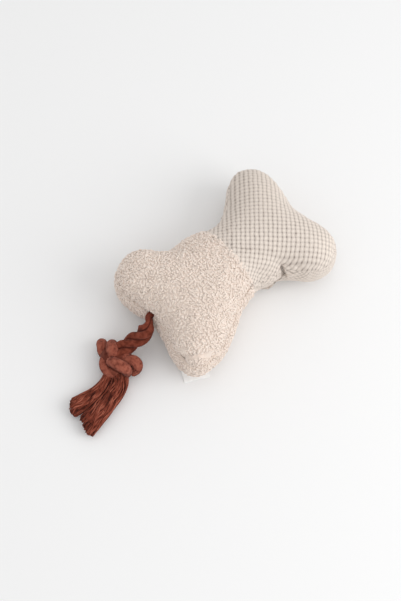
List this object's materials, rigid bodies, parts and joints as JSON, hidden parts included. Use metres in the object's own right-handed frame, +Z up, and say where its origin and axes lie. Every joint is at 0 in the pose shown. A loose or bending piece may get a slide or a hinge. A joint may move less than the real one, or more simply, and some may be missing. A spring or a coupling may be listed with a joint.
{
  "type": "squeaky dog toy",
  "caption": "Bone-shaped stuffed squeaky dog toy, one half fleece and one half woven cloth, with a knotted cotton rope at the fleece end.",
  "frame": {"origin": "middle of the stuffed bone's length and width, on the floor it lies on; the rope is left out of this", "axes": "+X along the bone from the rope end to the woven end, +Y across the bone, +Z up"},
  "size_m": [0.2414, 0.1142, 0.055],
  "materials": {
    "sherpa_fleece": "cream sherpa fleece with short dense curls, matt",
    "woven_cloth": "chunky basket weave in cream and taupe yarn, matt",
    "sewing_thread": "spun polyester thread",
    "label_tape": "blank white satin tape",
    "polyester_fill": "loose white polyester fibre",
    "squeaker_plastic": "soft translucent polythene",
    "reed_plastic": "hard natural plastic",
    "cotton_rope": "terracotta twisted cotton rope, matt"
  },
  "bodies": {
    "toy": {"fleece_panel_top": "sherpa_fleece", "fleece_panel_bottom": "sherpa_fleece", "woven_panel_top": "woven_cloth", "woven_panel_bottom": "woven_cloth", "perimeter_seam_thread": "sewing_thread", "cross_seam_thread": "sewing_thread", "sewn_label": "label_tape", "fill_core_upper": "polyester_fill", "fill_core_lower": "polyester_fill", "fill_woven_waist": "polyester_fill", "fill_fleece_lobe_far": "polyester_fill", "fill_fleece_lobe_near": "polyester_fill", "fill_woven_lobe_far": "polyester_fill", "fill_woven_lobe_near": "polyester_fill", "squeaker_base": "squeaker_plastic", "squeaker_bellows": "squeaker_plastic", "reed_barrel": "reed_plastic", "reed_shallot": "reed_plastic", "rope_inner_end": "cotton_rope", "rope_stop_knot": "cotton_rope"},
    "squeaker_cap": {"squeaker_cap": "squeaker_plastic"},
    "reed": {"reed_tongue": "reed_plastic"},
    "rope": {"rope_stretch": "cotton_rope"},
    "knot": {"rope_knot": "cotton_rope", "rope_tail_right": "cotton_rope", "rope_tail_left": "cotton_rope"}
  },
  "joints": [
    {"name": "squeeze", "type": "slide", "parent": "toy", "child": "squeaker_cap", "axis": [0, 0, -1], "range_m": [0, 0.007], "stiffness_N_per_m": 500, "deforming": ["squeaker_bellows"]},
    {"name": "reed_flex", "type": "hinge", "parent": "toy", "child": "reed", "pos_m": [-0.02385, 0, 0.0141], "axis": [0, 1, 0], "range_deg": [0, 6], "stiffness_Nm_per_rad": 0.002},
    {"name": "rope_lift", "type": "hinge", "parent": "toy", "child": "rope", "pos_m": [-0.0763, 0.0039, 0.027], "axis": [0, 1, 0], "range_deg": [0, 60]},
    {"name": "knot_swing", "type": "hinge", "parent": "rope", "child": "knot", "pos_m": [-0.1, 0.0043, 0.0155], "axis": [0, 0, 1], "range_deg": [-20, 20]}
  ]
}
